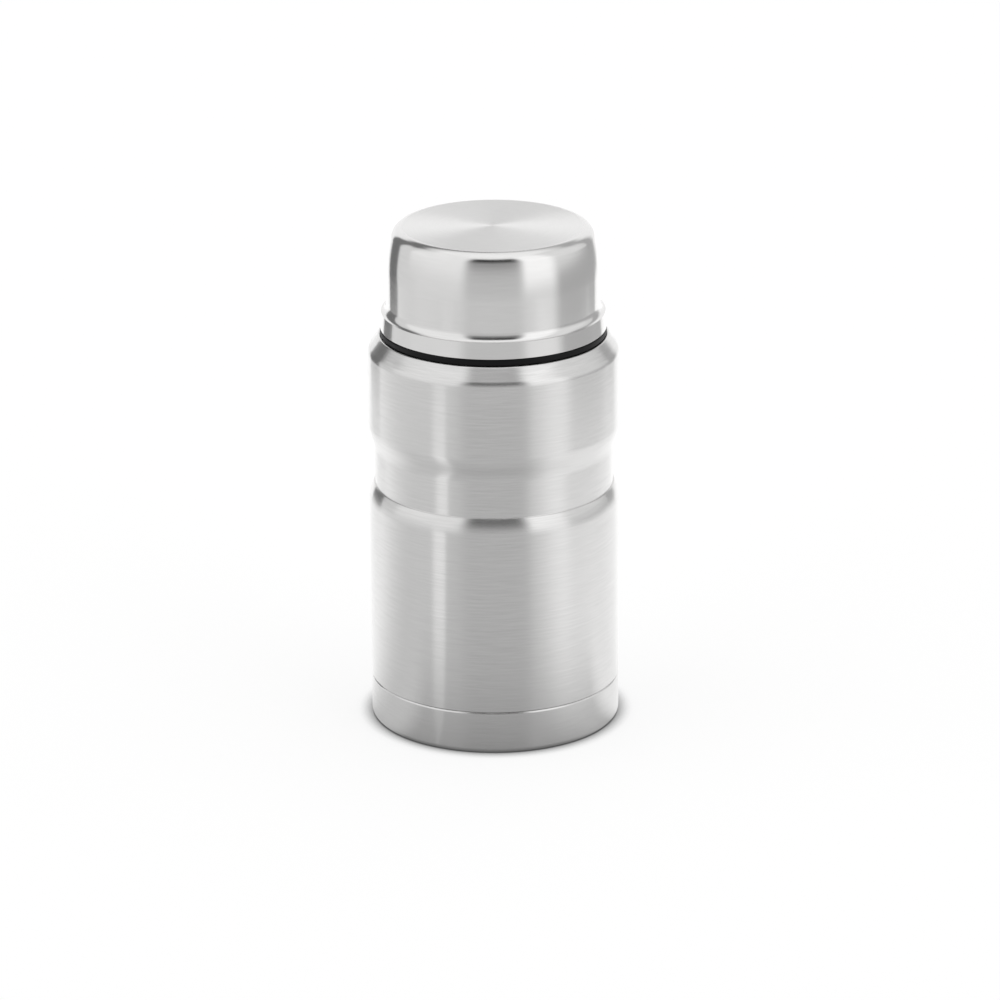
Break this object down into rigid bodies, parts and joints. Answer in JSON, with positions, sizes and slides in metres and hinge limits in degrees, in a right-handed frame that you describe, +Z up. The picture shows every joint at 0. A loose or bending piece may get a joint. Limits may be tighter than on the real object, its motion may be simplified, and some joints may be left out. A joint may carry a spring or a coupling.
{
  "type": "insulated food jar",
  "caption": "Round vacuum-walled steel food jar with a waisted body, a black screw stopper with a vent button, and a steel cup that screws on over it.",
  "frame": {"origin": "centre of the base, on the surface that the jar stands on", "axes": "+Z up along the jar's axis, +X to the right as in the picture's view, +Y away from the viewer"},
  "size_m": [0.1, 0.1, 0.2042],
  "materials": {
    "body_steel": "brushed round the axis",
    "cup_steel": "fine brushed, almost polished, with a circular-brushed top",
    "liner_steel": "satin electropolished",
    "plain_steel": "plain rolled",
    "spring_steel": "bright drawn wire",
    "copper_foil": "bright foil",
    "sealing_glass": "fused glass bead",
    "getter": "sintered metal",
    "black_plastic": "fine moulded texture",
    "button_plastic": "smooth satin",
    "silicone": "matt silicone",
    "foam": "rigid insulating foam"
  },
  "bodies": {
    "jar": {"base_cup": "body_steel", "outer_shell": "body_steel", "base_plate": "plain_steel", "sealing_bead": "sealing_glass", "inner_liner": "liner_steel", "radiation_foil": "copper_foil", "getter_capsule": "getter", "getter_strap": "plain_steel", "neck_thread_ring": "liner_steel"},
    "stopper_riser": {"lip_seal": "silicone"},
    "stopper": {"stopper_body": "black_plastic", "stopper_plug": "black_plastic", "stopper_foam": "foam", "plug_seal": "silicone", "stopper_top_cover": "black_plastic", "vent_guide": "black_plastic", "vent_spring": "spring_steel"},
    "vent": {"vent_button": "button_plastic", "vent_stem": "spring_steel", "valve_seal": "silicone", "valve_clip": "spring_steel"},
    "cup_riser": {"cup_gasket": "silicone"},
    "cup": {"cup_outer_shell": "cup_steel", "cup_inner_liner": "liner_steel", "cup_thread_ring": "black_plastic"}
  },
  "joints": [
    {"name": "stopper_lift", "type": "slide", "parent": "jar", "child": "stopper_riser", "axis": [0, 0, 1], "range_m": [0, 0.024]},
    {"name": "stopper_turn", "type": "hinge", "parent": "stopper_riser", "child": "stopper", "pos_m": [0, 0, 0.172], "axis": [0, 0, 1], "range_deg": [0, 720]},
    {"name": "vent_press", "type": "slide", "parent": "stopper", "child": "vent", "axis": [0, 0, -1], "range_m": [0, 0.0015], "stiffness_N_per_m": 300, "springref_m": -0.001, "deforming": ["vent_spring"]},
    {"name": "cup_lift", "type": "slide", "parent": "stopper", "child": "cup_riser", "axis": [0, 0, 1], "range_m": [0, 0.024]},
    {"name": "cup_turn", "type": "hinge", "parent": "cup_riser", "child": "cup", "pos_m": [0, 0, 0.1634], "axis": [0, 0, 1], "range_deg": [0, 720]}
  ],
  "couplings": [
    {"joint": "stopper_turn", "follows": "stopper_lift", "rad_per_m": 523.6},
    {"joint": "cup_turn", "follows": "cup_lift", "rad_per_m": 523.6}
  ]
}
